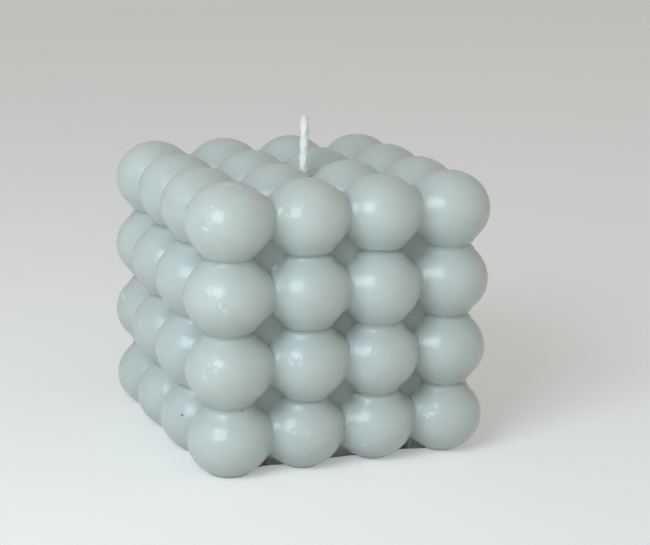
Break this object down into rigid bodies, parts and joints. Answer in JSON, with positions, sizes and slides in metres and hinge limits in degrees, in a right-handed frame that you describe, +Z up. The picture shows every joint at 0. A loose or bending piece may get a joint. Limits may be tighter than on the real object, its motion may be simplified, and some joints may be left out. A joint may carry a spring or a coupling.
{
  "type": "bubble cube candle",
  "caption": "Cube-shaped candle cast in one piece of pale wax as rows of touching round bubbles on a solid core, with a flat base and a short upright cotton wick.",
  "frame": {"origin": "middle of the flat base, on the surface the candle stands on", "axes": "+Z up along the wick; -Y is the side that faces the viewer in the picture, +X to that viewer's right"},
  "size_m": [0.0764, 0.0764, 0.0763],
  "materials": {
    "wax": "satin, slightly translucent cast wax",
    "wick_cotton": "waxed braided cotton"
  },
  "bodies": {
    "root": {"wax_body": "wax", "wick": "wick_cotton"}
  },
  "joints": []
}
